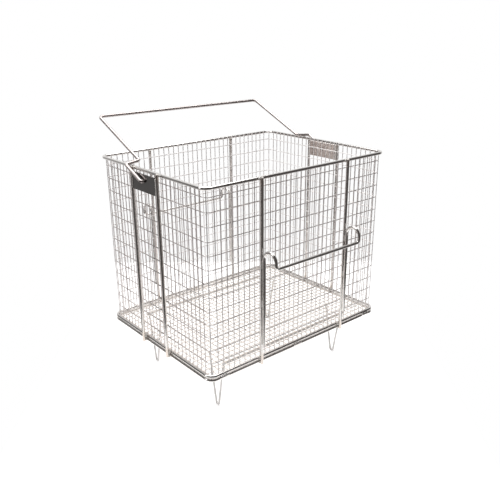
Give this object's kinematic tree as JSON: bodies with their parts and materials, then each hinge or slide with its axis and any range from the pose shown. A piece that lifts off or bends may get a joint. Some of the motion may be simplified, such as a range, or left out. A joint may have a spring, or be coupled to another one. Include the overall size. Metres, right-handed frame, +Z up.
{
  "type": "wire mesh basket",
  "caption": "Open-topped welded wire mesh basket with a swinging bail, fixed lift handles and wire feet, for clinic kennel use.",
  "frame": {"origin": "middle of the footprint, on the surface that the feet stand on", "axes": "+X right along the long side, +Z up; the front, with one lift handle, faces -Y"},
  "size_m": [0.495, 0.4538, 0.5512],
  "materials": {
    "frame_rod": "electropolished stainless rod",
    "mesh_wire": "bright drawn stainless wire",
    "polished_flat": "mirror-polished stainless sheet"
  },
  "bodies": {
    "basket": {"top_rim": "frame_rod", "bottom_ring_upper": "frame_rod", "bottom_ring_lower": "frame_rod", "mesh_front": "mesh_wire", "mesh_back": "mesh_wire", "mesh_left": "mesh_wire", "mesh_right": "mesh_wire", "mesh_corner_front_left": "mesh_wire", "mesh_corner_front_right": "mesh_wire", "mesh_corner_back_left": "mesh_wire", "mesh_corner_back_right": "mesh_wire", "mesh_floor": "mesh_wire", "front_rod_left": "frame_rod", "front_rod_right": "frame_rod", "back_rod_left": "frame_rod", "back_rod_right": "frame_rod", "left_rod_front": "frame_rod", "left_rod_back": "frame_rod", "right_rod_front": "frame_rod", "right_rod_back": "frame_rod", "left_pivot_plate": "polished_flat", "right_pivot_plate": "polished_flat", "front_lift_handle": "frame_rod", "back_lift_handle": "frame_rod", "front_foot_bar": "frame_rod", "back_foot_bar": "frame_rod", "foot_front_left": "frame_rod", "foot_front_right": "frame_rod", "foot_back_left": "frame_rod", "foot_back_right": "frame_rod"},
    "bail": {"bail": "frame_rod"}
  },
  "joints": [
    {"name": "bail_swing", "type": "hinge", "parent": "basket", "child": "bail", "pos_m": [0, 0, 0.4546], "axis": [1, 0, 0], "range_deg": [0, 132]}
  ]
}
